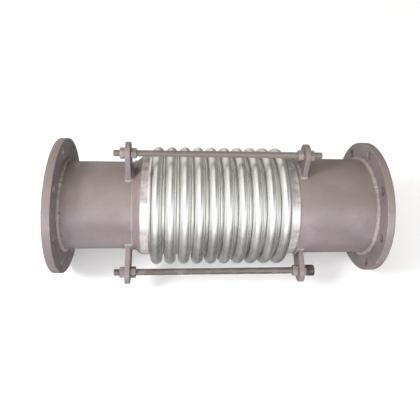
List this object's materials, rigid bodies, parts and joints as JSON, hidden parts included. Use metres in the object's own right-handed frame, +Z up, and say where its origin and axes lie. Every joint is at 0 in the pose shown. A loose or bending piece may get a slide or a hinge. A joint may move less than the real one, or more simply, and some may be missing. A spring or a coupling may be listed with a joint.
{
  "type": "flanged metal bellows expansion joint",
  "caption": "Flanged metal bellows pipe expansion joint with stepped pipe ends, inner flow sleeve and threaded tie rods that limit and set its axial length",
  "frame": {"origin": "on the floor under the middle of the joint, as it lies on its two flange rims", "axes": "+X along the pipe axis from the inlet (smaller pipe) to the outlet, +Z up through the top tie rod"},
  "size_m": [0.8, 0.345, 0.3625],
  "materials": {
    "primer_paint": "satin grey-mauve primer over steel",
    "stainless": "bright formed stainless sheet",
    "hardware_steel": "dull grey steel with traces of primer"
  },
  "bodies": {
    "inlet_end": {"inlet_flange": "primer_paint", "inlet_pipe": "primer_paint", "transition_ring": "primer_paint", "flow_sleeve": "stainless", "bellows": "stainless", "top_inlet_lug": "primer_paint", "top_tie_rod": "hardware_steel", "top_inlet_outer_nut": "hardware_steel", "top_inlet_inner_nut": "hardware_steel", "front_inlet_lug": "primer_paint", "front_tie_rod": "hardware_steel", "front_inlet_outer_nut": "hardware_steel", "front_inlet_inner_nut": "hardware_steel", "back_inlet_lug": "primer_paint", "back_tie_rod": "hardware_steel", "back_inlet_outer_nut": "hardware_steel", "back_inlet_inner_nut": "hardware_steel"},
    "outlet_end": {"outlet_flange": "primer_paint", "outlet_pipe": "primer_paint", "top_outlet_lug": "primer_paint", "front_outlet_lug": "primer_paint", "back_outlet_lug": "primer_paint"},
    "top_outlet_nuts": {"top_outlet_inner_nut": "hardware_steel", "top_outlet_outer_nut": "hardware_steel"},
    "front_outlet_nuts": {"front_outlet_inner_nut": "hardware_steel", "front_outlet_outer_nut": "hardware_steel", "front_outlet_lock_nut": "hardware_steel"},
    "back_outlet_nuts": {"back_outlet_inner_nut": "hardware_steel", "back_outlet_outer_nut": "hardware_steel"}
  },
  "joints": [
    {"name": "axial_travel", "type": "slide", "parent": "inlet_end", "child": "outlet_end", "axis": [1, 0, 0], "range_m": [-0.04, 0.01], "stiffness_N_per_m": 120000, "deforming": ["bellows"]},
    {"name": "top_nuts_turn", "type": "hinge", "parent": "outlet_end", "child": "top_outlet_nuts", "pos_m": [0.203, 0, 0.3355], "axis": [1, 0, 0], "continuous": true},
    {"name": "front_nuts_turn", "type": "hinge", "parent": "outlet_end", "child": "front_outlet_nuts", "pos_m": [0.203, -0.14549, 0.0835], "axis": [1, 0, 0], "continuous": true},
    {"name": "back_nuts_turn", "type": "hinge", "parent": "outlet_end", "child": "back_outlet_nuts", "pos_m": [0.203, 0.14549, 0.0835], "axis": [1, 0, 0], "continuous": true}
  ],
  "couplings": [
    {"joint": "top_nuts_turn", "follows": "axial_travel", "rad_per_m": 3141.6},
    {"joint": "front_nuts_turn", "follows": "axial_travel", "rad_per_m": 3141.6},
    {"joint": "back_nuts_turn", "follows": "axial_travel", "rad_per_m": 3141.6}
  ]
}
